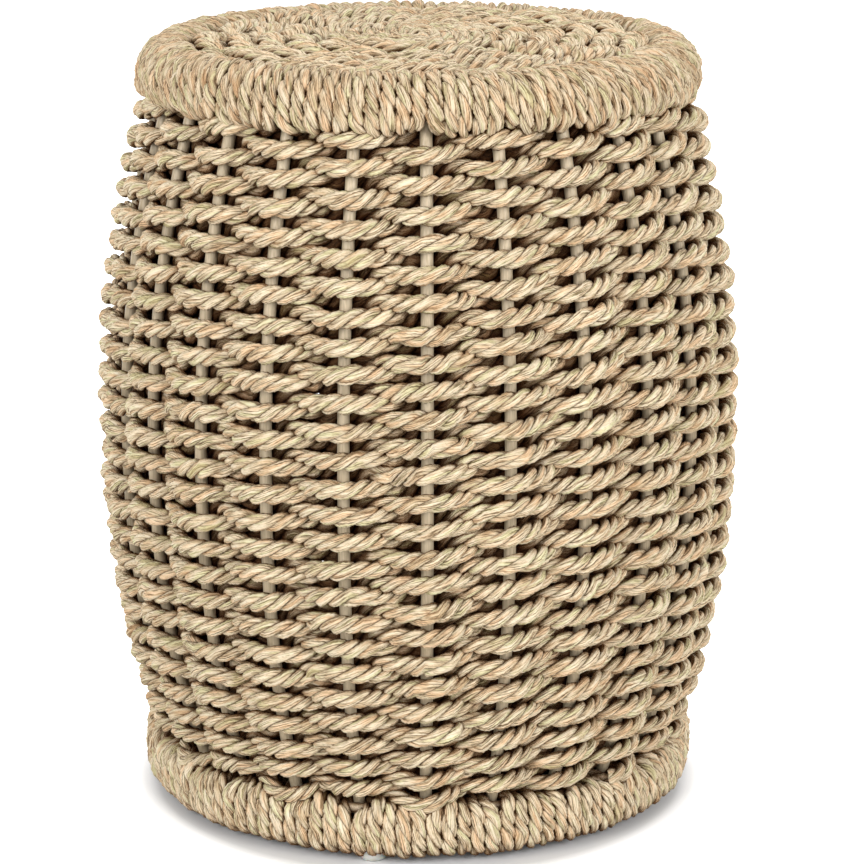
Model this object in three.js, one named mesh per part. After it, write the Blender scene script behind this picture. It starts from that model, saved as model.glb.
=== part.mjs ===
// A round drum stool, woven from thick seagrass rope on a frame of painted steel rod.
// Lengths are millimetres. Z points up, the floor is z = 0 and the front of the stool is -Y.
import * as THREE from 'three';

// Whole stool
const height = 457; // floor to the top of the seat
const bandRadius = 166.4; // outside of the two wrapped bands
const bellyRadius = 192.4; // outside of the rope at its widest row
const bellyHeight = 231; // floor to the widest row
const footHeight = 7; // floor to the underside of the bottom band
const fit = 0.3; // clearance between pieces that touch

// Steel frame
const ribCount = 24;
const ribDiameter = 7.8;
const ribTurn = 2.17; // degrees from the front to the first rib
const ribSides = 5;
const ribSteps = 6;
const upperBend = 2; // how a rib leaves the belly: a parabola above it
const lowerBend = 2.4; // and a little straighter, then sharper, below it
const ribLeanRoom = 3.5; // spare room in a band behind the leaning rib ends
const hoopDiameter = 6.5;
const hoopSides = 4;
const hoopGap = 4.2; // clear space between the two outer hoops of a band

// Rope
const ropeThickness = 8.6; // through the rope, out from the rod it bears on
const rowCount = 50; // rows of plain weave between the bands
const rowGap = 0.45; // slit between neighbouring rows
const rowSqueeze = 9.3; // how far the lowest rows are pressed up by the bottom band
const squeezedRowCount = 3; // rows in which most of that is taken up
const sideRopeCount = 10; // ropes used up by the side, one after the other
const wrapsPerBay = 4; // turns round a band between two ribs
const bandRopeCount = 4; // ropes used up by one band
const wrapGap = 0.6; // slit between turns at the inner face of a band
const shoulder = 9; // how far the outer edge of a band is rounded off

// Seat
const armCount = 13; // odd, so that one spiralling rope makes a plain weave
const armWidth = 4;
const armThickness = 4;
const hubRadius = 46;
const ringThickness = 2.5;
const ringHeight = 12;
const seatTurns = 8;
const seatGap = 0.5; // slit between neighbouring turns of the seat
const coilBore = 3; // hole in the middle of the coil on the hub
const coilTurns = 4;
const coilSteps = 12; // steps in one turn of the coil

// Feet
const footCount = 4;
const footRadius = 8.2;
const footSoleRadius = 4.5; // flat of the glide that stands on the floor
const footRimHeight = 3; // floor to where the domed side stands upright
const footSides = 12;

// Colours, from the photographed stool
const rope = new THREE.MeshStandardMaterial({ color: 0xcfb68c, roughness: 0.85, metalness: 0 });
const ropeDark = new THREE.MeshStandardMaterial({ color: 0xc4a878, roughness: 0.85, metalness: 0 });
const paint = new THREE.MeshStandardMaterial({ color: 0xb3a68e, roughness: 0.6, metalness: 0.1 });
const glide = new THREE.MeshStandardMaterial({ color: 0xd8d4cb, roughness: 0.35, metalness: 0 });

// Values worked out from the sizes above
const degree = Math.PI / 180;
const fullTurn = 2 * Math.PI;
const ribRadius = ribDiameter / 2;
const hoopRadius = hoopDiameter / 2;
const halfRope = ropeThickness / 2;
const hoopInset = ropeThickness + fit + hoopRadius; // band face to the middle of its hoop
const bandHeight = 2 * hoopInset + hoopDiameter + hoopGap;
const bandWidth = 2 * ropeThickness + hoopDiameter + ribDiameter + ribLeanRoom + 3 * fit;
const bandInner = bandRadius - bandWidth;
const hoopCircle = bandRadius - hoopInset;
const bottomBand = { low: footHeight, high: footHeight + bandHeight };
const topBand = { low: height - bandHeight, high: height };
const bottomSeat = bottomBand.high - hoopInset; // height of the hoop that holds the ribs' feet
const topSeat = topBand.low + hoopInset; // height of the hoop that holds the ribs' heads

// A point at an angle from the front, counted towards +X
function polar(radius, angle, z) {
  return new THREE.Vector3(radius * Math.sin(angle), -radius * Math.cos(angle), z);
}

// The level direction square to a radius
function crosswise(angle) {
  return new THREE.Vector3(Math.cos(angle), Math.sin(angle), 0);
}

// A closed tube through its sections, which all have as many points in the same order.
// An open tube gets a flat cap at each end, and a ring joins its last section to its first.
function tubeGeometry(sections, ring = false) {
  const sides = sections[0].length;
  const count = sections.length;
  const index = [];
  for (let i = 0; i < (ring ? count : count - 1); i++) {
    const next = (i + 1) % count;
    for (let k = 0; k < sides; k++) {
      const turn = (k + 1) % sides;
      index.push(i * sides + k, i * sides + turn, next * sides + turn);
      index.push(i * sides + k, next * sides + turn, next * sides + k);
    }
  }
  if (!ring) {
    const last = (count - 1) * sides;
    for (let k = 1; k + 1 < sides; k++) {
      index.push(0, k + 1, k);
      index.push(last, last + k, last + k + 1);
    }
  }
  const geometry = new THREE.BufferGeometry();
  const points = sections.flat().flatMap((point) => point.toArray());
  geometry.setAttribute('position', new THREE.Float32BufferAttribute(points, 3));
  geometry.setIndex(index);
  return facingOut(geometry);
}

// Turns the faces round where they enclose a negative volume
function facingOut(geometry) {
  const position = geometry.attributes.position;
  const order = geometry.index.array;
  const [a, b, c] = [new THREE.Vector3(), new THREE.Vector3(), new THREE.Vector3()];
  let volume = 0;
  for (let i = 0; i < order.length; i += 3) {
    a.fromBufferAttribute(position, order[i]);
    b.fromBufferAttribute(position, order[i + 1]);
    c.fromBufferAttribute(position, order[i + 2]);
    volume += a.dot(b.cross(c));
  }
  if (volume < 0) {
    for (let i = 0; i < order.length; i += 3) {
      [order[i + 1], order[i + 2]] = [order[i + 2], order[i + 1]];
    }
  }
  geometry.computeVertexNormals();
  return geometry;
}

// The least gap of a tube to itself: every corner and mid edge of a section against the
// faces of the turns beside it, from half a turn away to a turn and a half away
function leastGap(sections, stepsPerTurn) {
  const triangle = new THREE.Triangle();
  const nearest = new THREE.Vector3();
  const sides = sections[0].length;
  const first = Math.floor(stepsPerTurn / 2);
  let least = Infinity;
  for (let i = 0; i + 1 < sections.length; i++) {
    const samples = sections[i].flatMap((point, k) => [point, point.clone().lerp(sections[i + 1][k], 0.5)]);
    for (let j = i + first; j < Math.min(i + first + stepsPerTurn + 1, sections.length - 1); j++) {
      for (let k = 0; k < sides; k++) {
        const turn = (k + 1) % sides;
        const corners = [sections[j][k], sections[j][turn], sections[j + 1][turn], sections[j + 1][k]];
        for (const face of [[0, 1, 2], [0, 2, 3]]) {
          triangle.set(corners[face[0]], corners[face[1]], corners[face[2]]);
          for (const sample of samples) {
            triangle.closestPointToPoint(sample, nearest);
            least = Math.min(least, nearest.distanceTo(sample));
          }
        }
      }
    }
  }
  return least;
}

const stool = new THREE.Group();

function addPiece(name, geometry, material) {
  const piece = new THREE.Mesh(geometry, material.clone());
  piece.name = name;
  stool.add(piece);
}

function twoDigits(number) {
  return String(number).padStart(2, '0');
}

// Ribs: rods that bow out from the hoops, and bear on the inside of them
const bay = fullTurn / ribCount;
const ribReach = hoopRadius + fit + ribRadius; // middle of a hoop to the middle of a rib
const upperHalf = topSeat - bellyHeight;
const lowerHalf = bellyHeight - bottomSeat;
const mostRise = bellyRadius - ropeThickness - ribRadius - (hoopCircle - ribReach);
const upperLean = Math.hypot(1, (upperBend * mostRise) / upperHalf);
const lowerLean = Math.hypot(1, (lowerBend * mostRise) / lowerHalf);
const ribHead = hoopCircle - ribReach * upperLean;
const ribFoot = hoopCircle - ribReach * lowerLean;
const ribClear = ribRadius * Math.max(upperLean, lowerLean) + fit; // beside a leaning rib
const bayChord = 2 * Math.min(ribHead, ribFoot) * Math.sin(bay / 2);
const weaveOffset = ribClear * Math.hypot(1, (2 * ribClear + ropeThickness) / bayChord);
const ribBelly = bellyRadius - ropeThickness - weaveOffset;
const ribLow = bottomSeat - hoopRadius;
const ribHigh = topSeat + hoopRadius;

function ribAngle(number) {
  return ribTurn * degree + number * bay;
}

function bowedRadius(z) {
  const above = z > bellyHeight;
  const share = Math.abs(z - bellyHeight) / (above ? upperHalf : lowerHalf);
  const end = above ? ribHead : ribFoot;
  return ribBelly - (ribBelly - end) * share ** (above ? upperBend : lowerBend);
}

// The rib as it is made, in straight steps between points on the bow
function ribRadiusAt(z) {
  const step = (ribHigh - ribLow) / ribSteps;
  const below = Math.min(ribSteps - 1, Math.max(0, Math.floor((z - ribLow) / step)));
  const low = ribLow + below * step;
  return THREE.MathUtils.mapLinear(z, low, low + step, bowedRadius(low), bowedRadius(low + step));
}

function makeRib(number) {
  const angle = ribAngle(number);
  const sections = [];
  for (let step = 0; step <= ribSteps; step++) {
    const z = THREE.MathUtils.lerp(ribLow, ribHigh, step / ribSteps);
    const section = [];
    for (let side = 0; side < ribSides; side++) {
      const turn = (side * fullTurn) / ribSides;
      const point = polar(bowedRadius(z) + ribRadius * Math.cos(turn), angle, z);
      section.push(point.addScaledVector(crosswise(angle), ribRadius * Math.sin(turn)));
    }
    sections.push(section);
  }
  addPiece(`rib_${twoDigits(number + 1)}`, tubeGeometry(sections), paint);
}

for (let number = 0; number < ribCount; number++) makeRib(number);

// Hoops: rings of rod, with a corner at each rib, which the ribs and the wraps bear on
const innerCircle = (bandInner + hoopInset) / Math.cos(bay / 2); // its flats clear the wraps
const roomForShoulder = hoopCircle - innerCircle - hoopDiameter - fit;
const hoopToCorner = (2 - Math.SQRT2) * (halfRope + fit + hoopRadius);
const shoulderDraw = Math.min(Math.max(shoulder - hoopToCorner, 0), roomForShoulder);
const shoulderCut = shoulderDraw + hoopToCorner;
const shoulderCircle = hoopCircle - shoulderDraw;

function makeHoop(name, radius, z) {
  const sections = [];
  for (let number = 0; number < ribCount; number++) {
    const section = [];
    for (let side = 0; side < hoopSides; side++) {
      const turn = (side * fullTurn) / hoopSides;
      const [out, up] = [hoopRadius * Math.cos(turn), hoopRadius * Math.sin(turn)];
      section.push(polar(radius + out, ribAngle(number), z + up));
    }
    sections.push(section);
  }
  addPiece(name, tubeGeometry(sections, true), paint);
}

makeHoop('bottom_hoop_lower', shoulderCircle, bottomBand.low + hoopInset);
makeHoop('bottom_hoop_upper', hoopCircle, bottomSeat);
makeHoop('top_hoop_lower', hoopCircle, topSeat);
makeHoop('top_hoop_upper', shoulderCircle, topBand.high - hoopInset);
makeHoop('top_hoop_inner', innerCircle, topBand.high - hoopInset);

// Wraps: rope wound round a band, four turns to a bay, passing behind each rib to the next
// bay. The turn is drawn as for the top band; the bottom band has it upside down.
const ribGate = Math.asin((ribRadius + fit) / Math.min(ribHead, ribFoot)); // half the gap at a rib
const wrapSlit = wrapGap / (bandInner + halfRope);
const wrapAngle = (bay - 2 * ribGate - (wrapsPerBay - 1) * wrapSlit) / wrapsPerBay;

function wrapTurn(number) {
  const inBay = number % wrapsPerBay;
  const start = ribAngle(Math.floor(number / wrapsPerBay)) + ribGate;
  return start + wrapAngle / 2 + inBay * (wrapAngle + wrapSlit);
}

const turnCorners = [
  [bandRadius - halfRope, halfRope],
  [bandRadius - halfRope, bandHeight - halfRope - shoulderCut],
  [bandRadius - halfRope - shoulderCut, bandHeight - halfRope],
  [bandInner + halfRope, bandHeight - halfRope],
  [bandInner + halfRope, halfRope],
].map(([radius, rise]) => new THREE.Vector2(radius, rise));

// From a corner of the turn to the outside of the rope there, along the mitre
function mitre(corner) {
  const count = turnCorners.length;
  const here = turnCorners[corner];
  const before = here.clone().sub(turnCorners[(corner + count - 1) % count]).normalize();
  const after = turnCorners[(corner + 1) % count].clone().sub(here).normalize();
  const sum = new THREE.Vector2(before.y + after.y, -before.x - after.x);
  return sum.multiplyScalar(halfRope / (1 + before.dot(after)));
}

function wrapSections(band, inverted, firstTurn, lastTurn) {
  const zAt = (rise) => (inverted ? band.high - rise : band.low + rise);
  const section = (middle, out, angle) => [
    polar(middle.x + out.x, angle, zAt(middle.y + out.y)),
    polar(middle.x, angle + wrapAngle / 2, zAt(middle.y)),
    polar(middle.x - out.x, angle, zAt(middle.y - out.y)),
    polar(middle.x, angle - wrapAngle / 2, zAt(middle.y)),
  ];
  const seam = (bandRadius + bandInner) / 2; // where one rope ends and the next goes on
  const down = new THREE.Vector2(0, -halfRope);
  const sections = [section(new THREE.Vector2(seam + fit / 2, halfRope), down, wrapTurn(firstTurn))];
  for (let turn = firstTurn; turn < lastTurn; turn++) {
    turnCorners.forEach((corner, i) => {
      const angle = wrapTurn(i === turnCorners.length - 1 ? turn + 1 : turn);
      sections.push(section(corner, mitre(i), angle));
    });
  }
  sections.push(section(new THREE.Vector2(seam - fit / 2, halfRope), down, wrapTurn(lastTurn)));
  return sections;
}

function wrapBand(name, band, inverted) {
  for (let length = 0; length < bandRopeCount; length++) {
    const firstTurn = Math.round((length * ribCount) / bandRopeCount) * wrapsPerBay;
    const lastTurn = Math.round(((length + 1) * ribCount) / bandRopeCount) * wrapsPerBay;
    const sections = wrapSections(band, inverted, firstTurn, lastTurn);
    addPiece(`${name}_${length + 1}`, tubeGeometry(sections), length % 2 ? ropeDark : rope);
    const gap = leastGap(sections, turnCorners.length);
    console.log(`${name}_${length + 1}: ${lastTurn - firstTurn} loops, least gap ${gap.toFixed(2)} mm`);
  }
}

wrapBand('bottom_wrap', bottomBand, true);
wrapBand('top_wrap', topBand, false);

// Side: level rows of plain weave, each of which steps up to the next in the bay at the back
const rowsLow = bottomBand.high + fit;
const rowsHigh = topBand.low - fit + rowGap;
const rowPitch = (rowsHigh + rowSqueeze - rowsLow) / rowCount;
const stepRib = Math.round(ribCount / 2); // the first rib of each row, behind the stool

function rowUnderside(row) {
  return rowsHigh - (rowCount - row) * rowPitch + rowSqueeze * Math.exp(-row / squeezedRowCount);
}

function passSection(pass) {
  const row = Math.floor(pass / ribCount);
  const rib = pass % ribCount;
  const [low, high] = [rowUnderside(row), rowUnderside(row + 1) - rowGap];
  const z = (low + high) / 2;
  const outside = (row + rib) % 2 === 0;
  const base = ribRadiusAt(z) + (outside ? weaveOffset : -weaveOffset - ropeThickness);
  const angle = ribAngle(stepRib + rib);
  return [
    polar(base, angle, low),
    polar(base + ropeThickness, angle, z),
    polar(base, angle, high),
  ];
}

// The pass at which a length of rope starts: the second of an even row, inside of its rib
function firstPass(length) {
  return 2 * Math.round((length * rowCount) / sideRopeCount / 2) * ribCount + 1;
}

// A section moved a little way towards another, which opens the butt joint between two ropes
function shiftedSection(section, towards) {
  const share = fit / 2 / section[0].distanceTo(towards[0]);
  return section.map((point, i) => point.clone().lerp(towards[i], share));
}

function weaveSide() {
  const finalPass = rowCount * ribCount - 2; // the last that is inside of its rib
  for (let length = 0; length < sideRopeCount; length++) {
    const last = Math.min(firstPass(length + 1), finalPass);
    const sections = [];
    for (let pass = firstPass(length); pass <= last; pass++) sections.push(passSection(pass));
    const end = sections.length - 1;
    sections[0] = shiftedSection(sections[0], sections[1]);
    sections[end] = shiftedSection(sections[end], sections[end - 1]);
    addPiece(`side_rope_${twoDigits(length + 1)}`, tubeGeometry(sections), length % 2 ? ropeDark : rope);
  }
}

weaveSide();

// Seat: a spider of flat arms in a ring that bears on the wraps, with rope woven round it
const armTurn = fullTurn / armCount;
const ringOuter = bandInner - fit;
const ringFlat = (ringOuter - ringThickness) * Math.cos(armTurn / 4); // to the flats inside
const seatStart = (hubRadius + fit) / Math.cos(armTurn / 2);
const armSpacing = 2 * seatStart * Math.sin(armTurn / 2);
const steepness = (armThickness + ropeThickness) / armSpacing;
const armClear = (fit * Math.hypot(1, steepness) + (armWidth / 2) * steepness) / (1 - armWidth / armSpacing);
const armMiddle = height - ropeThickness - armClear - armThickness / 2;
const seatPitch = (ringFlat - fit - seatStart) / (seatTurns + 1 / Math.cos(armTurn / 2));
const seatWidth = seatPitch * Math.cos(armTurn / 2) - seatGap;

function makeSeatRing() {
  const sections = [];
  for (let step = 0; step < 2 * armCount; step++) {
    const angle = ((step + 1 / 2) * armTurn) / 2;
    const [low, high] = [armMiddle - ringHeight / 2, armMiddle + ringHeight / 2];
    const inner = ringOuter - ringThickness;
    sections.push([polar(ringOuter, angle, low), polar(ringOuter, angle, high),
      polar(inner, angle, high), polar(inner, angle, low)]);
  }
  addPiece('seat_ring', tubeGeometry(sections, true), paint);
}

function makeSeatSpider() {
  const outline = [];
  const root = Math.asin(armWidth / 2 / hubRadius);
  for (let arm = 0; arm < armCount; arm++) {
    const angle = arm * armTurn;
    const tip = polar(ringFlat - fit, angle, 0);
    const across = crosswise(angle).multiplyScalar(armWidth / 2);
    outline.push(polar(hubRadius, angle - root, 0), tip.clone().sub(across));
    outline.push(tip.clone().add(across), polar(hubRadius, angle + root, 0));
  }
  const shape = new THREE.Shape(outline.map((point) => new THREE.Vector2(point.x, point.y)));
  const geometry = new THREE.ExtrudeGeometry(shape, { depth: armThickness, bevelEnabled: false });
  geometry.translate(0, 0, armMiddle - armThickness / 2);
  addPiece('seat_spider', geometry, paint);
}

// The section of a flat-lying rope
function lyingSection(radius, angle, z, width) {
  return [polar(radius - width / 2, angle, z), polar(radius, angle, z + halfRope),
    polar(radius + width / 2, angle, z), polar(radius, angle, z - halfRope)];
}

function weaveSeat() {
  const sections = [];
  const lift = armThickness / 2 + armClear + halfRope;
  for (let pass = 0; pass <= seatTurns * armCount; pass++) {
    const radius = seatStart + seatPitch / 2 + (pass * seatPitch) / armCount;
    const z = armMiddle + (pass % 2 ? lift : -lift);
    sections.push(lyingSection(radius, pass * armTurn, z, seatWidth));
  }
  addPiece('seat_rope', tubeGeometry(sections), rope);
}

// The rope's start, coiled flat on the hub
function coilSeatCentre() {
  const sections = [];
  const width = (hubRadius - fit - coilBore) / (coilTurns + 1) - seatGap;
  const pitch = (hubRadius - fit - coilBore - width) / coilTurns;
  const z = armMiddle + armThickness / 2 + fit + halfRope;
  for (let step = 0; step <= coilTurns * coilSteps; step++) {
    const radius = coilBore + width / 2 + (step * pitch) / coilSteps;
    sections.push(lyingSection(radius, (step * fullTurn) / coilSteps, z, width));
  }
  addPiece('seat_centre_coil', tubeGeometry(sections), ropeDark);
  const gap = leastGap(sections, coilSteps);
  console.log(`seat_centre_coil: ${coilTurns} loops, least gap ${gap.toFixed(2)} mm`);
}

makeSeatRing();
makeSeatSpider();
weaveSeat();
coilSeatCentre();

// Feet: domed glides under the first wrap beside a rib
function makeFoot(number) {
  const profile = [[0, 0], [footSoleRadius, 0], [footRadius, footRimHeight], [footRadius, footHeight - fit],
    [0, footHeight - fit]].map(([radius, z]) => new THREE.Vector2(radius, z));
  const geometry = new THREE.LatheGeometry(profile, footSides);
  geometry.rotateX(90 * degree);
  const bayBefore = Math.round((number * ribCount) / footCount) - 1 + ribCount;
  const place = polar(hoopCircle, wrapTurn(bayBefore * wrapsPerBay), 0);
  geometry.translate(place.x, place.y, place.z);
  addPiece(`foot_${number + 1}`, facingOut(geometry), glide);
}

for (let number = 0; number < footCount; number++) makeFoot(number);

export default stool;
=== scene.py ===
import math

import bmesh
import bpy
import numpy as np
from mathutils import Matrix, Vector


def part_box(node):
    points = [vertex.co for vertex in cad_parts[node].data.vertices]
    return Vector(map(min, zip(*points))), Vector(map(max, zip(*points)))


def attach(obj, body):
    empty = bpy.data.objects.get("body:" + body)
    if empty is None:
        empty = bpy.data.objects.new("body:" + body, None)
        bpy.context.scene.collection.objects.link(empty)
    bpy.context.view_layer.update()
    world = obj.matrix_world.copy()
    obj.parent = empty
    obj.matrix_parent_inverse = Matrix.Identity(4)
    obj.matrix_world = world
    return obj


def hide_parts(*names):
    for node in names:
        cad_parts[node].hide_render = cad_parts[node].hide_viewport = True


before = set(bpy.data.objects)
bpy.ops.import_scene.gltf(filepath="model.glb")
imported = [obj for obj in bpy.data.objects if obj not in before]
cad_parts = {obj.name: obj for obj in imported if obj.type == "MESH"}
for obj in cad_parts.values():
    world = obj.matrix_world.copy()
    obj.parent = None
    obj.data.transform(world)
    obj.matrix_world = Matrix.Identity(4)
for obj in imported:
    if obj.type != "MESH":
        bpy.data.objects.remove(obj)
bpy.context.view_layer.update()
scene = bpy.context.scene
scene.view_settings.view_transform = "Standard"
print("frame loaded:", len(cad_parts), "nodes")

# Camera, as the photograph was taken: low tele view, a little from above
photo = {"distance": 1.8745, "eyeHeight": 0.7197, "pitch": 15.12, "lens": 133.7, "shift": 0.0155}

cameraData = bpy.data.cameras.new("photoCamera")
cameraData.lens = photo["lens"]
cameraData.sensor_width = 36
cameraData.shift_x = photo["shift"]
camera = bpy.data.objects.new("photoCamera", cameraData)
camera.location = (0, -photo["distance"], photo["eyeHeight"])
camera.rotation_euler = (math.radians(90 - photo["pitch"]), 0, 0)
scene.collection.objects.link(camera)
scene.camera = camera

# Shared sizes of the stool, in metres, as in the solids
stool = {
    "height": 0.457,
    "foot": 0.007,
    "bandRadius": 0.1664,
    "bandHeight": 0.035,
    "bandWidth": 0.0359,
    "bellyRadius": 0.1924,
    "bellyHeight": 0.231,
    "ribs": 24,
    "ribTurn": math.radians(1.57),  # the front rib's angle, trued on the photo
    "fit": 0.0003,
    "circleSteps": 144,
}
bay = 2 * math.pi / stool["ribs"]
bandInner = stool["bandRadius"] - stool["bandWidth"]


def fromTheFront(radius, angle, z):  # angle from the front, -Y, towards +X
    return Vector((radius * math.sin(angle), -radius * math.cos(angle), z))


def levelCircle(radius, z):
    half = stool["circleSteps"] / 2
    return [fromTheFront(radius, turn * math.pi / half, z) for turn in range(stool["circleSteps"])]


def easeBetween(a, b, share):
    return a + (b - a) * (1 - math.cos(math.pi * share)) / 2


def clamped(share):
    return min(1, max(0, share))


# Node helpers
def addNode(tree, kind, inputs=None, **settings):
    node = tree.nodes.new(kind)
    for name, value in settings.items():
        setattr(node, name, value)
    for socket, value in (inputs or {}).items():
        if isinstance(value, bpy.types.NodeSocket):
            tree.links.new(value, node.inputs[socket])
        else:
            node.inputs[socket].default_value = value
    return node


def maths(tree, operation, a, b=0.0, c=0.0, clamp=False):
    return addNode(tree, "ShaderNodeMath", {0: a, 1: b, 2: c}, operation=operation, use_clamp=clamp).outputs[0]


def colourRamp(tree, factor, stops):
    node = addNode(tree, "ShaderNodeValToRGB", {0: factor})
    for i, (position, colour) in enumerate(stops):
        element = node.color_ramp.elements[i] if i < 2 else node.color_ramp.elements.new(position)
        element.position = position
        element.color = (*colour, 1)
    return node.outputs[0]


def mixColour(tree, factor, a, b, blend="MIX"):
    node = addNode(tree, "ShaderNodeMix", {0: factor, 6: a, 7: b}, data_type="RGBA", blend_type=blend)
    return node.outputs[2]


def objectPlace(tree):
    return addNode(tree, "ShaderNodeTexCoord").outputs["Object"]


def lengthOf(tree, vector):
    return addNode(tree, "ShaderNodeVectorMath", {0: vector}, operation="LENGTH").outputs["Value"]


def noise(tree, place, scale, detail, roughness=0.5):
    inputs = {"Vector": place, "Scale": scale, "Detail": detail, "Roughness": roughness}
    return addNode(tree, "ShaderNodeTexNoise", inputs).outputs[0]


def newMaterial(name, roughness):
    material = bpy.data.materials.new(name)
    material.use_nodes = True
    shader = material.node_tree.nodes["Principled BSDF"]
    shader.inputs["Roughness"].default_value = roughness
    return material, material.node_tree, shader


def paintedCreviceShade(tree):  # painted shade: darker where a surface lies deep between ropes and rods, as ambient occlusion finds it
    openness = addNode(tree, "ShaderNodeAmbientOcclusion", {"Distance": 0.020}, samples=4).outputs["AO"]
    return colourRamp(tree, openness, [(0.14, (0.095, 0.036, 0.012)), (0.34, (0.46, 0.33, 0.21)),
                                       (0.50, (1.0, 1.0, 1.0))])


# Mesh helpers
def meshOfCurve(name, curve):
    draft = bpy.data.objects.new(name, curve)
    scene.collection.objects.link(draft)
    mesh = bpy.data.meshes.new_from_object(draft.evaluated_get(bpy.context.evaluated_depsgraph_get()))
    bpy.data.objects.remove(draft)
    mesh.name = name
    return mesh


def closeAndSmooth(form, mesh, sharpAngle):  # joins doubled points, turns the faces outwards and shades them
    bmesh.ops.remove_doubles(form, verts=form.verts, dist=1e-6)
    bmesh.ops.recalc_face_normals(form, faces=form.faces)
    for face in form.faces:
        face.smooth = True
    form.to_mesh(mesh)
    form.free()
    mesh.set_sharp_from_angle(angle=math.radians(sharpAngle))


def addPiece(name, mesh, material, slot, *nodes):
    mesh.materials.clear()
    mesh.materials.append(material)
    piece = bpy.data.objects.new(name, mesh)
    scene.collection.objects.link(piece)
    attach(piece, "root")
    if nodes:
        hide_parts(*nodes)


# Rope: laid to the left from three strands of twisted plant fibre
ropeLook = {
    "strands": 3,
    "pointsOnStrand": 6,
    "groove": 0.40,  # depth between the strands, as a share of the rope's radius
    "tightGroove": 0.31,  # where the rope is pulled tight round the bands
    "grooveBend": 2.1,
    "laidWidth": 1.73,  # a laid rope's mean width over the radius of its round outline
    "laidGirth": 0.85,  # its girth over that of the outline
    "step": 0.0023,
    "uneven": 0.075,  # how much a strand swells and thins
    "unevenSteps": 7,
    "rough": 0.022,
    "unevenTwist": 0.40,
    "twistSteps": 6,
    "sharpAngle": 70,
    "fibreWidth": 0.00043,
    "fibreLength": 0.0065,
    "fibreSlant": -0.58,  # 1 lays the fibres straight along the rope, 0 along the strand
    "bladeWidth": 0.0026,  # a blade is a ribbon of fibres of one tint
    "bladeLength": 0.013,
    "splitWidth": 0.0009,
    "splitLength": 0.0055,
    "splitEdge": 0.026,
    "stretchLength": 0.022,
    "grooveLine": 13.0,  # a higher power draws a thinner painted shade line in the grooves
    "strandSeed": 17.3,
}
unevenness = np.random.default_rng(24)


# the third argument sets how strongly painted shade darkens the rope inside the circle of ribs, and the fourth is a
# tint of painted shade over the whole rope
def ropeMaterial(name, rope, insideShadeAmount=None, shadeTint=None):
    material, tree, shader = newMaterial(name, 0.72)
    place = addNode(tree, "ShaderNodeSeparateXYZ", {0: addNode(tree, "ShaderNodeUVMap", uv_map="ropeMap").outputs[0]})
    along, around = place.outputs[0], place.outputs[1]  # metres along the rope, turns round it
    onStrand = maths(tree, "MULTIPLY", around, ropeLook["strands"])
    strand = maths(tree, "FLOOR", onStrand)
    across = maths(tree, "ABSOLUTE", maths(tree, "SUBTRACT", maths(tree, "FRACT", onStrand), 0.5))
    # painted shade: a thin dark line along each groove between the strands
    groove = maths(tree, "POWER", maths(tree, "MULTIPLY", across, 2.0), ropeLook["grooveLine"])
    turned = maths(tree, "MULTIPLY_ADD", along, ropeLook["fibreSlant"] / rope["lay"], around)
    seed = maths(tree, "MULTIPLY", strand, ropeLook["strandSeed"])
    girth = 2 * math.pi * rope["radius"] * ropeLook["laidGirth"]

    def fibrePlace(length, width, third):
        return addNode(tree, "ShaderNodeCombineXYZ", {
            0: maths(tree, "DIVIDE", along, ropeLook[length]),
            1: maths(tree, "MULTIPLY", turned, girth / ropeLook[width]) if width else 0.0, 2: third}).outputs[0]

    fibres = noise(tree, fibrePlace("fibreLength", "fibreWidth", seed), 0.62, 4.0, 0.68)
    blades = noise(tree, fibrePlace("bladeLength", "bladeWidth", seed), 0.8, 1.0)
    stretches = noise(tree, fibrePlace("stretchLength", None, seed), 1.0, 2.0, 0.6)
    splits = noise(tree, fibrePlace("splitLength", "splitWidth", maths(tree, "ADD", seed, 5.0)), 0.85, 1.0)

    straw = colourRamp(tree, fibres, [(0.385, (0.15, 0.105, 0.060)), (0.452, (0.47, 0.370, 0.237)),
                                      (0.53, (0.72, 0.600, 0.425)), (0.59, (0.77, 0.685, 0.53))])
    tint = colourRamp(tree, blades, [(0.34, (1.0, 0.82, 0.69)), (0.46, (1.0, 0.96, 0.91)),
                                     (0.55, (1.0, 1.0, 1.0)), (0.67, (0.88, 0.96, 0.77))])
    colour = mixColour(tree, 0.85, straw, tint, "MULTIPLY")
    splits = maths(tree, "ABSOLUTE", maths(tree, "SUBTRACT", splits, 0.5))  # thin lines where it crosses the middle
    split = colourRamp(tree, splits, [(0.0, (1.0, 1.0, 1.0)), (ropeLook["splitEdge"], (0.0, 0.0, 0.0))])
    colour = mixColour(tree, maths(tree, "MULTIPLY", split, 0.40), colour, (0.17, 0.085, 0.035, 1))
    shade = colourRamp(tree, stretches, [(0.32, (0.84, 0.76, 0.66)), (0.50, (1.0, 1.0, 1.0)),
                                         (0.68, (1.08, 1.07, 1.05))])
    colour = mixColour(tree, 0.8, colour, shade, "MULTIPLY")
    shown = maths(tree, "MULTIPLY_ADD", stretches, 3.0, -0.72, clamp=True)  # the painted shade line in a groove comes and goes
    colour = mixColour(tree, maths(tree, "MULTIPLY", groove, shown), colour, (0.05, 0.022, 0.008, 1))
    # painted shade in the crevices between the ropes
    colour = mixColour(tree, 1.0, colour, paintedCreviceShade(tree), "MULTIPLY")
    # painted shade on the rope inside the circle of ribs
    if insideShadeAmount:
        colour = mixColour(tree, insideShadeAmount, colour, paintedInsideShade(tree), "MULTIPLY")
    # painted shade: a tint that darkens a whole copy of the rope
    if shadeTint:
        colour = mixColour(tree, 1.0, colour, (*shadeTint, 1), "MULTIPLY")
    height = maths(tree, "MULTIPLY_ADD", blades, 0.6, fibres)
    bump = addNode(tree, "ShaderNodeBump", {"Strength": 0.85, "Distance": 0.0006, "Height": height}).outputs[0]
    tree.links.new(colour, shader.inputs["Base Color"])
    tree.links.new(bump, shader.inputs["Normal"])
    shader.inputs["Specular IOR Level"].default_value = 0.12
    return material


insideShade = {"bend": 2.2, "perMetre": 50.0}  # the bend of the rib circle, and how fast the painted shade comes


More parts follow.
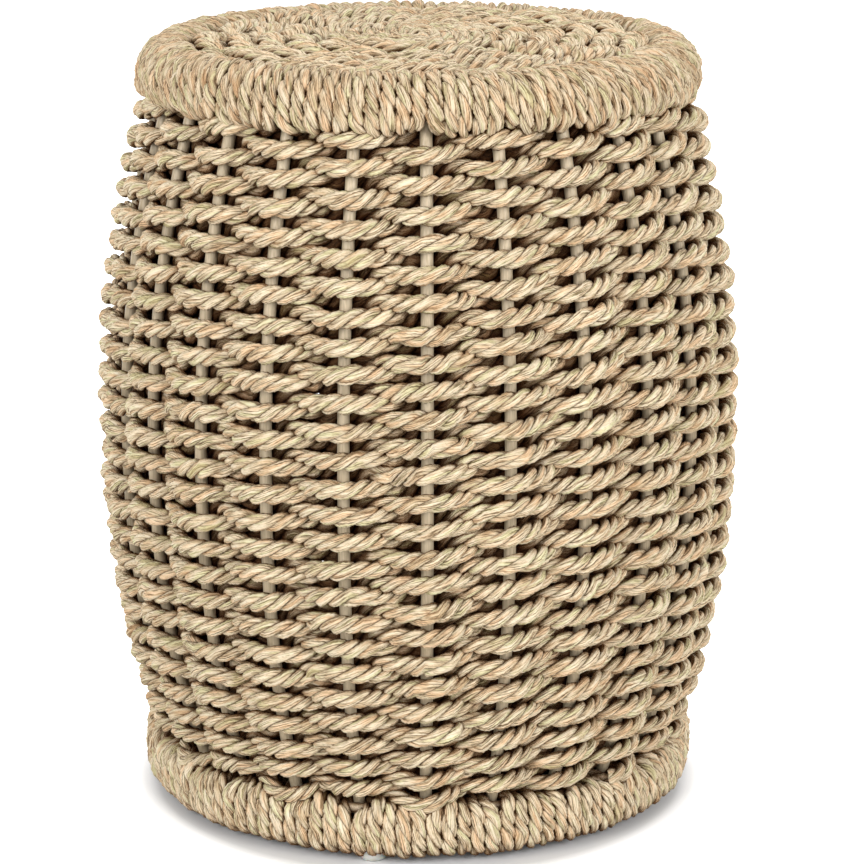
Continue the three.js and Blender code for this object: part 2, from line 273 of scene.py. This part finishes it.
def paintedInsideShade(tree):  # painted shade: the rope is darker inside the circle of ribs, where little light reaches it
    place = objectPlace(tree)
    height = addNode(tree, "ShaderNodeSeparateXYZ", {0: place}).outputs[2]
    level = addNode(tree, "ShaderNodeVectorMath", {0: place, 1: (1, 1, 0)}, operation="MULTIPLY").outputs[0]
    radius = lengthOf(tree, level)
    fromBelly = maths(tree, "ABSOLUTE", maths(tree, "SUBTRACT", height, stool["bellyHeight"]))
    drop = maths(tree, "POWER", maths(tree, "DIVIDE", fromBelly, highHoop - stool["bellyHeight"]), insideShade["bend"])
    ribCircle = maths(tree, "MULTIPLY_ADD", drop, -mostRise, ribBelly)
    outside = maths(tree, "MULTIPLY_ADD", maths(tree, "SUBTRACT", radius, ribCircle), insideShade["perMetre"], 0.5)
    return colourRamp(tree, outside, [(0.30, (0.43, 0.30, 0.20)), (0.60, (1.0, 1.0, 1.0))])


def strandedSection(name, groove):  # a closed outline with a lobe for each strand and unit radius
    curve = bpy.data.curves.new(name, "CURVE")
    spline = curve.splines.new("POLY")
    count = ropeLook["strands"] * ropeLook["pointsOnStrand"]
    spline.points.add(count - 1)
    for i in range(count):
        turn = i / ropeLook["pointsOnStrand"] % 1 * 2 - 1  # -1 in a groove, 0 on the crown
        radius = 1 - groove * abs(turn) ** ropeLook["grooveBend"]
        angle = -2 * math.pi * i / count
        spline.points[i].co = (radius * math.cos(angle), radius * math.sin(angle), 0, 1)
    spline.use_cyclic_u = True
    section = bpy.data.objects.new(name, curve)
    scene.collection.objects.link(section)
    return section


def evenSteps(path, step):  # the path at equal steps; its columns are x, y, z and any others
    path = np.asarray(path)
    travel = np.concatenate([[0], np.cumsum(np.linalg.norm(np.diff(path[:, :3], axis=0), axis=1))])
    places = np.linspace(0, travel[-1], max(2, round(travel[-1] / step)) + 1)
    return np.stack([np.interp(places, travel, column) for column in path.T], axis=1), places


def wander(count, spacing, size):  # a smooth random run of values
    knots = unevenness.normal(0, size, math.ceil(count / spacing) + 2)
    return np.interp(np.arange(count) / spacing, np.arange(len(knots)), knots)


# Sweeps the section along a path whose columns are x, y, z, the rope's radius, and how much
# the rope is pressed: a direction and the share of its width that is left in it
def layRope(name, path, lay, section, material, *nodes):
    path, places = evenSteps(path, ropeLook["step"])
    curve = bpy.data.curves.new(name, "CURVE")
    curve.dimensions = "3D"
    curve.bevel_mode = "OBJECT"
    curve.bevel_object = section
    curve.use_fill_caps = True
    curve.twist_mode = "MINIMUM"
    spline = curve.splines.new("POLY")
    count = len(path)
    spline.points.add(count - 1)
    spline.points.foreach_set("co", np.column_stack([path[:, :3], np.ones(count)]).ravel())
    spline.points.foreach_set("radius", path[:, 3])
    twist = wander(count, ropeLook["twistSteps"], ropeLook["unevenTwist"])
    spline.points.foreach_set("tilt", places * -2 * math.pi / lay + twist)
    mesh = meshOfCurve(name, curve)

    sides = ropeLook["strands"] * ropeLook["pointsOnStrand"]
    points = np.empty(len(mesh.vertices) * 3)
    mesh.vertices.foreach_get("co", points)
    points = points.reshape(-1, 3)
    rings = points[len(points) - count * sides:].reshape(count, sides, 3)  # the two caps come before them
    ends = points[:2 * sides].reshape(2, sides, 3)
    onRings = [np.linalg.norm(ends[k][:, None] - rings[-k][None], axis=2).argmin(axis=1) for k in (0, 1)]
    middles, press, share = path[:, None, :3], path[:, 4:7], path[:, 7]
    swells = [wander(count, ropeLook["unevenSteps"], ropeLook["uneven"]) for _ in range(ropeLook["strands"])]
    swell = np.repeat(swells, ropeLook["pointsOnStrand"], axis=0).T
    rings += (rings - middles) * (swell + unevenness.normal(0, ropeLook["rough"], swell.shape))[..., None]
    out = np.einsum("ijk,ik->ij", rings - middles, press)
    rings += press[:, None] * (out * (share - 1)[:, None])[..., None]
    for k in (0, 1):
        ends[k] = rings[-k][onRings[k]]
    mesh.vertices.foreach_set("co", points.ravel())

    layer = mesh.uv_layers[0]
    layer.name = "ropeMap"
    uv = np.empty(len(mesh.loops) * 2)
    layer.uv.foreach_get("vector", uv)
    uv[0::2] *= places[-1]
    layer.uv.foreach_set("vector", uv)

    form = bmesh.new()
    form.from_mesh(mesh)
    closeAndSmooth(form, mesh, ropeLook["sharpAngle"])
    addPiece(name, mesh, material, "rope", *nodes)


ropeSection = strandedSection("ropeSection", ropeLook["groove"])
tightSection = strandedSection("tightSection", ropeLook["tightGroove"])

# Ribs: bowed rods of painted steel, straight up and down in plan
rib = {
    "radius": 0.0039,
    "drawnRadius": 0.0035,
    "hoopRadius": 0.00325,
    "hoopInset": 0.01215,
    "upperBend": 2.0,
    "lowerBend": 2.4,
    "ropeSpace": 0.0046,
    "slack": 0.0006,
    "steps": 28,
    "sharpAngle": 50,
}
hoopCircle = stool["bandRadius"] - rib["hoopInset"]
lowHoop = stool["foot"] + stool["bandHeight"] - rib["hoopInset"]
highHoop = stool["height"] - stool["bandHeight"] + rib["hoopInset"]
ribReach = rib["hoopRadius"] + stool["fit"] + rib["radius"]
ribBelly = stool["bellyRadius"] - 2 * rib["ropeSpace"] - rib["radius"] - rib["slack"]
mostRise = ribBelly - hoopCircle + ribReach
ribHead = hoopCircle - ribReach * math.hypot(1, rib["upperBend"] * mostRise / (highHoop - stool["bellyHeight"]))
ribFoot = hoopCircle - ribReach * math.hypot(1, rib["lowerBend"] * mostRise / (stool["bellyHeight"] - lowHoop))


def ribRadiusAt(z):
    if z > stool["bellyHeight"]:
        share = (z - stool["bellyHeight"]) / (highHoop - stool["bellyHeight"])
        return ribBelly - (ribBelly - ribHead) * share ** rib["upperBend"]
    share = (stool["bellyHeight"] - z) / (stool["bellyHeight"] - lowHoop)
    return ribBelly - (ribBelly - ribFoot) * share ** rib["lowerBend"]


def ribAngle(number):
    return stool["ribTurn"] + number * bay


def paintMaterial(name, creviceShaded):
    material, tree, shader = newMaterial(name, 0.45)
    place = objectPlace(tree)
    streak = addNode(tree, "ShaderNodeMapping", {"Vector": place, "Scale": (900, 900, 40)}).outputs[0]
    grain = noise(tree, streak, 1.0, 2.0)
    colour = colourRamp(tree, grain, [(0.35, (0.50, 0.40, 0.26)), (0.65, (0.66, 0.54, 0.37))])
    worn = colourRamp(tree, noise(tree, place, 60.0, 3.0), [(0.35, (0.8, 0.76, 0.7)), (0.65, (1, 1, 1))])
    colour = mixColour(tree, 0.5, colour, worn, "MULTIPLY")
    # painted shade in the crevices, for frame parts seen only through the weave
    if creviceShaded:
        colour = mixColour(tree, 1.0, colour, paintedCreviceShade(tree), "MULTIPLY")
    bump = addNode(tree, "ShaderNodeBump", {"Strength": 0.2, "Distance": 0.0002, "Height": grain}).outputs[0]
    tree.links.new(colour, shader.inputs["Base Color"])
    tree.links.new(bump, shader.inputs["Normal"])
    return material


def bendRod(name, line, radius, material, closed, *nodes):
    curve = bpy.data.curves.new(name, "CURVE")
    curve.dimensions = "3D"
    curve.bevel_depth = radius
    curve.bevel_resolution = 3
    curve.use_fill_caps = not closed
    spline = curve.splines.new("POLY")
    spline.points.add(len(line) - 1)
    for point, place in zip(spline.points, line):
        point.co = (*place, 1)
    spline.use_cyclic_u = closed
    mesh = meshOfCurve(name, curve)
    form = bmesh.new()
    form.from_mesh(mesh)
    closeAndSmooth(form, mesh, rib["sharpAngle"])
    addPiece(name, mesh, material, "frame_paint", *nodes)


paint = paintMaterial("ribPaint", False)
# the hidden hoops and seat frame get painted crevice shade
hiddenPaint = paintMaterial("hiddenPaint", True)
low, high = lowHoop - rib["hoopRadius"], highHoop + rib["hoopRadius"]
for number in range(stool["ribs"]):
    levels = [low + (high - low) * step / rib["steps"] for step in range(rib["steps"] + 1)]
    line = [fromTheFront(ribRadiusAt(z), ribAngle(number), z) for z in levels]
    bendRod(f"ribRod{number + 1:02d}", line, rib["drawnRadius"], paint, False, f"rib_{number + 1:02d}")
print("ribs bent")

# Hoops that the bands are wound round, which show only through the slits
hoops = {
    "bottom_hoop_lower": (0.15068, stool["foot"] + rib["hoopInset"]),
    "bottom_hoop_upper": (hoopCircle, lowHoop),
    "top_hoop_lower": (hoopCircle, highHoop),
    "top_hoop_upper": (0.1487, stool["height"] - rib["hoopInset"] - 0.0015),  # under the rounded shoulder
    "top_hoop_inner": (0.1430, stool["height"] - rib["hoopInset"]),
}
for name, (radius, z) in hoops.items():
    bendRod(f"{name}_rod", levelCircle(radius, z), rib["hoopRadius"], hiddenPaint, True, name)
print("hoops bent")

# Side: rows of plain weave that each climb to the next one at the front right
side = {
    "radius": 0.0057,
    "lay": 0.0298,
    "pressedTo": 0.90,  # shares of the rope's height: between the ribs, in front of a rib and behind one
    "pulledTo": 1.03,
    "spreadTo": 1.88,
    "tightest": 0.88,  # where rows are crowded, and the pitch from which they are not
    "easyPitch": 0.0078,
    "standOff": 0.85,  # how far the rope's middle stands off a rib, as a share of its radius
    "rise": 0.0009,
    "hang": 0.0042,
    "unevenHeight": 0.0006,
    "unevenReach": 0.0004,
    "unevenWidth": 0.03,
    "lengths": 10,
    "stepsToBay": 24,
}
rows = {
    "count": 50,
    "top": 0.4234,
    "pitch": 0.0079,
    "squeeze": 0.0084,
    "squeezedRows": 2.5,
    "climbFrom": 11.5,  # in ribs passed since the back
    "climbBays": 3.2,
    "lateClimb": 1.7,
    "lateFrom": 18,
    "lateRows": 24,
    "lateBend": 1.5,
    "overBand": 1.6,
    "first": -9.2,
    "last": 1192.2,
}
# the side rope is darkened inside the circle of ribs by painted shade
sideRope = ropeMaterial("sideRope", side, insideShadeAmount=1.0)
stepRib = stool["ribs"] // 2


def rowUnderside(row):
    squeeze = rows["squeeze"] * math.exp(-row / rows["squeezedRows"])
    return rows["top"] - (rows["count"] - row) * rows["pitch"] + squeeze


def firstPass(length):
    return 2 * round(length * rows["count"] / side["lengths"] / 2) * stool["ribs"] + 1


halfBays = 2 * (rows["count"] + 1) * stool["ribs"] + 2  # each half bay has its own unevenness
unevenHeights = unevenness.normal(0, side["unevenHeight"], halfBays)
unevenReaches = unevenness.normal(0, side["unevenReach"], halfBays)
unevenWidths = unevenness.normal(1, side["unevenWidth"], halfBays)


def unevenAt(values, travel):
    half = math.floor(2 * travel)
    return easeBetween(values[half], values[half + 1], 2 * travel - half)


def sidePoint(travel):  # travel counts the ribs passed since the rope's start
    row, onRow = divmod(travel, stool["ribs"])
    passed = math.floor(onRow)
    share = onRow - passed
    skipping = passed == stool["ribs"] - 1  # behind the stool, it stays on one side of two ribs
    late = rows["lateClimb"] * (max(0, row - rows["lateFrom"]) / rows["lateRows"]) ** rows["lateBend"]
    climb = (onRow - rows["climbFrom"] - late) / rows["climbBays"]  # the upper rows climb further round
    level = row + easeBetween(0, 1, clamped(climb))
    before = 1 if (row + passed) % 2 == 0 else -1
    reach = easeBetween(before, before if skipping else -before, share)
    z = (rowUnderside(level) + rowUnderside(level + 1)) / 2
    z += unevenAt(unevenHeights, travel)
    z += 0 if skipping else side["rise"] * before * math.sin(math.pi * share)
    overBand = max(0, reach) * math.exp(-rows["overBand"] * level)  # the lowest passes hang over the band
    z -= side["hang"] * overBand
    offset = (rib["radius"] + side["standOff"] * side["radius"]) * reach + side["hang"] * overBand
    offset += unevenAt(unevenReaches, travel)
    place = fromTheFront(ribRadiusAt(z) + offset, ribAngle(stepRib + onRow), z)
    width = side["radius"] * unevenAt(unevenWidths, travel)
    room = min(1, max(side["tightest"], (rowUnderside(level + 1) - rowUnderside(level)) / side["easyPitch"]))
    pulled = side["pulledTo"] if reach > 0 else side["spreadTo"]
    pressed = room * (side["pressedTo"] + (pulled - side["pressedTo"]) * abs(reach))
    return (*place, width, 0, 0, 1, pressed)


for length in range(side["lengths"]):
    start = rows["first"] if length == 0 else firstPass(length)
    end = rows["last"] if length == side["lengths"] - 1 else firstPass(length + 1)
    travels = np.linspace(start, end, round((end - start) * side["stepsToBay"]) + 1)
    path = [sidePoint(travel) for travel in travels]
    layRope(f"sideWeave{length + 1:02d}", path, side["lay"], ropeSection, sideRope, f"side_rope_{length + 1:02d}")
print("side woven")

# Bands: five turns to a bay, which pass behind the rib to the next bay on their inner run
band = {
    "radius": 0.0050,
    "lay": 0.0275,
    "turns": 5,
    "lengths": 4,
    "corner": 0.0056,
    "cornerSteps": 6,
    "step": 0.002,
    "gate": math.radians(1.45),  # half the angle that the turns leave to a rib
    "gateFrom": 0.06,  # shares of a turn, from the run that the ribs enter by
    "gateOver": 0.13,
    "looseness": 0.998,
    "moveFrom": 0.62,
    "moveOver": 0.28,
    "nested": 1.08,  # turns press into each other, and widen to fill the bay
    "widest": 1.34,
    "unevenness": 0.0006,
    "unevenRise": 0.6,
    "unevenEdge": 2.2,  # the edge by the side's weave is the more uneven one
    "edgeHeight": 0.012,
}
bandRope = ropeMaterial("bandRope", band)
# the top band's rope is a darker copy of the band rope, painted shade
shadedBandRope = ropeMaterial("shadedBandRope", band, shadeTint=(0.91, 0.885, 0.865))
bandShapes = {
    "bottom": {
        "rope": bandRope,
        "ribsEnter": "above",
        "low": stool["foot"] - 0.0046,  # as wound, each edge a little lower than the solids' own
        "high": stool["foot"] + stool["bandHeight"] - 0.0048,
        "outermost": stool["bandRadius"] + 0.0018,
        "outerShoulder": 0.0068,
        "innerShoulder": band["corner"],
    },
    "top": {
        "rope": shadedBandRope,
        "ribsEnter": "below",
        "low": stool["height"] - stool["bandHeight"] - 0.0022,
        "high": stool["height"] - 0.0015,
        "outermost": stool["bandRadius"],
        "outerShoulder": 0.0160,
        "innerShoulder": 0.0070,
    },
}


def roundedLoop(corners, radii, steps):
    line = []
    for i, corner in enumerate(corners):
        before = (corners[i - 1] - corner).normalized()
        after = (corners[(i + 1) % len(corners)] - corner).normalized()
        half = before.angle(after) / 2
        start, end = corner + before * radii[i] / math.tan(half), corner + after * radii[i] / math.tan(half)
        middle = corner + (before + after).normalized() * radii[i] / math.sin(half)
        first = math.atan2(start.y - middle.y, start.x - middle.x)
        turn = (math.atan2(end.y - middle.y, end.x - middle.x) - first + math.pi) % (2 * math.pi) - math.pi
        angles = [first + turn * k / steps for k in range(steps + 1)]
        line += [middle + radii[i] * Vector((math.cos(angle), math.sin(angle))) for angle in angles]
    return line


def inwardShare(share):  # a turn moves on to the next only on its inner run, behind the ribs
    return easeBetween(0, 1, clamped((share - band["moveFrom"]) / band["moveOver"]))


def turnAngle(turn, room):
    inBay = turn % band["turns"] - (band["turns"] - 1) / 2
    return ribAngle(turn // band["turns"]) + bay / 2 + inBay * room


def windBand(name, shape):
    # the loop starts on the run that the ribs enter by, goes out, up and in, and comes back
    low, high = shape["low"] + band["radius"], shape["high"] - band["radius"]
    base, far = (low, high) if shape["ribsEnter"] == "below" else (high, low)
    outer, inner = shape["outermost"] - band["radius"], bandInner + band["radius"]
    corners = [Vector((outer, base)), Vector((outer, far)), Vector((inner, far)), Vector((inner, base))]
    radii = [band["corner"], shape["outerShoulder"], shape["innerShoulder"], band["corner"]]
    start = Vector(((outer + inner) / 2, base))
    loop = [start] + roundedLoop(corners, radii, band["cornerSteps"]) + [start]
    dense = []
    for a, b in zip(loop, loop[1:]):
        steps = max(1, math.ceil((b - a).length / band["step"]))
        dense += [a.lerp(b, k / steps) for k in range(steps)]
    lengths = np.concatenate([[0], np.cumsum([(b - a).length for a, b in zip(dense, dense[1:] + [start])])])
    shares = lengths / lengths[-1]
    jitter = unevenness.normal(0, band["unevenness"], (stool["ribs"] * band["turns"] + 1, 4))
    tight = (bay - 2 * band["gate"]) / band["turns"]
    loose = bay * band["looseness"] / band["turns"]

    for length in range(band["lengths"]):
        path = []
        first, last = (round(k * stool["ribs"] / band["lengths"]) * band["turns"] for k in (length, length + 1))
        for turn in range(first, last):
            for point, share in zip(dense, shares):
                nearRibs = easeBetween(1, 0, clamped((min(share, 1 - share) - band["gateFrom"]) / band["gateOver"]))
                room = loose + (tight - loose) * nearRibs
                move = inwardShare(share)
                angle = turnAngle(turn, room) * (1 - move) + turnAngle(turn + 1, room) * move
                wobble = jitter[turn] * (1 - share) + jitter[turn + 1] * share
                radius = point.x + wobble[0]
                nearBase = max(0, 1 - abs(point.y - base) / band["edgeHeight"])
                z = point.y + wobble[1] * band["unevenRise"] + wobble[2] * band["unevenEdge"] * nearBase
                place = fromTheFront(radius, angle, z)
                width = band["nested"] * radius * room / (ropeLook["laidWidth"] * band["radius"])
                tangent = (math.cos(angle), math.sin(angle), 0)
                path.append((*place, band["radius"], *tangent, min(band["widest"], width)))
        layRope(f"{name}Winding{length + 1}", path, band["lay"], tightSection, shape["rope"],
                f"{name}_wrap_{length + 1}")


for name, shape in bandShapes.items():
    windBand(name, shape)
print("bands wound")

# Seat: one rope woven round thirteen flat arms, from a coil on their hub
seat = {
    "radius": 0.0056,
    "lay": 0.0270,
    "arms": 13,
    "armMiddle": 0.44465,
    "stepsToArm": 24,
    "raised": 0.0030,
    "wave": 0.0036,
    "rimLift": 0.6,  # the last turns hardly dip by the band
    "rimBend": 5,
    "spread": 1.24,  # the rope lies flat over an arm, and less so under it
    "spreadOver": 0.24,
    "turns": 8,
    "rimArms": 8,  # past the last turn, the rope runs level along the band over these
    "outerTurn": 0.1266,
    "unevenness": 0.0004,
    "hub": 0.046,
    "overlap": 0.0008,
}
coil = {"turns": 4, "bore": 0.003, "steps": 60, "spread": 1.04}
seatRing = {"inset": 0.0016, "drop": 0.002, "rod": 0.0018}
armTurn = 2 * math.pi / seat["arms"]
seatStart = (seat["hub"] + stool["fit"]) / math.cos(armTurn / 2) - seat["overlap"]
seatPitch = (seat["outerTurn"] - seatStart) / (seat["turns"] + 0.5)
seatTop = seat["armMiddle"] + seat["raised"]
seatRope = ropeMaterial("seatRope", seat)

path = []
total = seat["turns"] * seat["arms"] + seat["rimArms"]
jitter = unevenness.normal(0, seat["unevenness"], (total + 2, 2))
for step in range(total * seat["stepsToArm"] + 1):
    travel = step / seat["stepsToArm"]
    passed = math.floor(travel)
    share = travel - passed
    before = -1 if passed % 2 == 0 else 1
    over = easeBetween(before, -before, share)
    uneven = [easeBetween(jitter[passed][k], jitter[passed + 1][k], share) for k in (0, 1)]
    radius = min(seat["outerTurn"], seatStart + seatPitch / 2 + travel * seatPitch / seat["arms"]) + uneven[0]
    wave = seat["wave"] * (1 if over > 0 else 1 - seat["rimLift"] * (travel / total) ** seat["rimBend"])
    place = fromTheFront(radius, travel * armTurn, seatTop + wave * over + uneven[1])
    outward = fromTheFront(1, travel * armTurn, 0)
    path.append((*place, seat["radius"], *outward, seat["spread"] + seat["spreadOver"] * over))
layRope("seatWeave", path, seat["lay"], ropeSection, seatRope, "seat_rope")

path = []
coilWidth = (seat["hub"] - stool["fit"] - coil["bore"]) / (coil["turns"] + 1)
for step in range((coil["turns"] + 1) * coil["steps"] + 1):
    travel = step / coil["steps"]
    radius = coil["bore"] + coilWidth / 2 + travel * coilWidth
    sinking = max(0, 4 * (travel - coil["turns"]) - 3)  # the last quarter turn runs down into the weave
    place = fromTheFront(radius, travel * 2 * math.pi, seatTop + seat["wave"] * easeBetween(1, -1, sinking))
    outward = fromTheFront(1, travel * 2 * math.pi, 0)
    path.append((*place, seat["radius"], *outward, coil["spread"]))
layRope("seatCoil", path, seat["lay"], ropeSection, seatRope, "seat_centre_coil")
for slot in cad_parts["seat_spider"].material_slots:
    slot.material = hiddenPaint
line = levelCircle(bandInner - seatRing["inset"], seat["armMiddle"] - seatRing["drop"])
bendRod("seatRing", line, seatRing["rod"], hiddenPaint, True, "seat_ring")
print("seat woven")

# Feet: milky plastic glides
foot = {"count": 4, "radius": 0.0082, "height": 0.0067, "sole": 0.0045, "rounding": 0.0037, "roundSteps": 5,
        "aroundSteps": 32, "sharpAngle": 50}


def glideMaterial():
    material, tree, shader = newMaterial("milkyGlide", 0.3)
    cloud = noise(tree, objectPlace(tree), 120.0, 2.0)
    colour = colourRamp(tree, cloud, [(0.35, (0.66, 0.64, 0.58)), (0.65, (0.80, 0.79, 0.74))])
    tree.links.new(colour, shader.inputs["Base Color"])
    shader.inputs["Transmission Weight"].default_value = 0.35
    shader.inputs["Subsurface Weight"].default_value = 0.3
    shader.inputs["Subsurface Scale"].default_value = 0.004
    return material


def turnedForm(outline, place, steps):  # an outline from axis to axis, turned round the axis at a place
    form = bmesh.new()
    rings = []
    for radius, z in outline:
        angles = [2 * math.pi * step / steps for step in range(steps if radius else 1)]
        rings.append([form.verts.new(place + Vector((radius * math.cos(angle), radius * math.sin(angle), z)))
                      for angle in angles])
    for a, b in zip(rings, rings[1:]):
        for step in range(steps):
            corners = [ring[k % len(ring)] for ring, k in ((a, step), (a, step + 1), (b, step + 1), (b, step))]
            form.faces.new(list(dict.fromkeys(corners)))  # a triangle at the axis, where two corners are one
    return form


glide = glideMaterial()
outline = [(0, 0), (foot["sole"], 0)]
for k in range(1, foot["roundSteps"] + 1):
    turn = math.pi / 2 * k / foot["roundSteps"]
    outline.append((foot["sole"] + foot["rounding"] * math.sin(turn), foot["rounding"] * (1 - math.cos(turn))))
outline += [(foot["radius"], foot["height"]), (0, foot["height"])]
for number in range(foot["count"]):
    low, high = (Vector(corner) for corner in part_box(f"foot_{number + 1}"))
    middle = (low + high) / 2
    form = turnedForm(outline, Vector((middle.x, middle.y, low.z)), foot["aroundSteps"])
    mesh = bpy.data.meshes.new(f"glide{number + 1}")
    closeAndSmooth(form, mesh, foot["sharpAngle"])
    addPiece(f"glide{number + 1}", mesh, glide, "glide", f"foot_{number + 1}")
print("feet placed")

# Studio: a white floor, a white sky and soft lamps
studio = {"floorSize": 14, "floorGrey": 0.75, "world": 0.16, "shadeForward": 0.012}


def raysThatSee(tree):  # the floor and the sky are white to the eye, and dim as lamps
    seen = addNode(tree, "ShaderNodeLightPath")
    rays = maths(tree, "ADD", seen.outputs["Is Camera Ray"], seen.outputs["Is Glossy Ray"])
    return maths(tree, "ADD", rays, seen.outputs["Is Transmission Ray"], clamp=True)


def floorMaterial():
    material, tree, shader = newMaterial("paleFloor", 0.9)
    grey = studio["floorGrey"]
    shader.inputs["Base Color"].default_value = (grey, grey, grey, 1)
    # the floor glows for the eye except in a disc round the stool, set forward by shadeForward; inside it the lamps'
    # own shadow shows, and the grey ring at its edge is painted shadow
    fromShade = addNode(tree, "ShaderNodeVectorMath", {0: objectPlace(tree), 1: (0, studio["shadeForward"], 0)},
                        operation="ADD").outputs[0]
    glowAroundPaintedShadow = colourRamp(tree, lengthOf(tree, fromShade), [(0.160, (0.0, 0.0, 0.0)), (0.1715, (0.45, 0.45, 0.45)),
                                                        (0.178, (0.95, 0.95, 0.95)), (0.60, (1.0, 1.0, 1.0))])
    shader.inputs["Emission Color"].default_value = (1, 1, 1, 1)
    tree.links.new(maths(tree, "MULTIPLY", raysThatSee(tree), glowAroundPaintedShadow), shader.inputs["Emission Strength"])
    return material


form = bmesh.new()
bmesh.ops.create_grid(form, x_segments=1, y_segments=1, size=studio["floorSize"])
mesh = bpy.data.meshes.new("floor")
form.to_mesh(mesh)
form.free()
mesh.materials.append(floorMaterial())
floor = bpy.data.objects.new("floor", mesh)
scene.collection.objects.link(floor)

world = bpy.data.worlds.new("studio")
world.use_nodes = True
scene.world = world
tree = world.node_tree
backdrop = tree.nodes["Background"]
backdrop.inputs["Color"].default_value = (1, 1, 1, 1)
brightness = maths(tree, "MULTIPLY_ADD", raysThatSee(tree), 1 - studio["world"], studio["world"])
tree.links.new(brightness, backdrop.inputs["Strength"])


def addLamp(name, place, target, size, power):
    data = bpy.data.lights.new(name, "AREA")
    data.shape = "DISK"
    data.size = size
    data.energy = power
    lamp = bpy.data.objects.new(name, data)
    lamp.location = place
    lamp.rotation_euler = (Vector(target) - Vector(place)).to_track_quat("-Z", "Y").to_euler()
    scene.collection.objects.link(lamp)


middleOfStool, middleOfSeat = (0, 0, 0.22), (0, 0, 0.4)
addLamp("leftLamp", (-1.55, -1.85, 1.2), middleOfStool, 1.9, 54)
addLamp("rightLamp", (1.55, -1.85, 1.2), middleOfStool, 1.9, 54)
addLamp("leftBackLamp", (-1.5, 1.9, 1.3), middleOfStool, 1.9, 34)
addLamp("rightBackLamp", (1.5, 1.9, 1.3), middleOfStool, 1.9, 34)
addLamp("topLamp", (0.1, 0.1, 2.6), middleOfSeat, 1.5, 20)
for section in (ropeSection, tightSection):
    bpy.data.objects.remove(section)
print("studio lit")
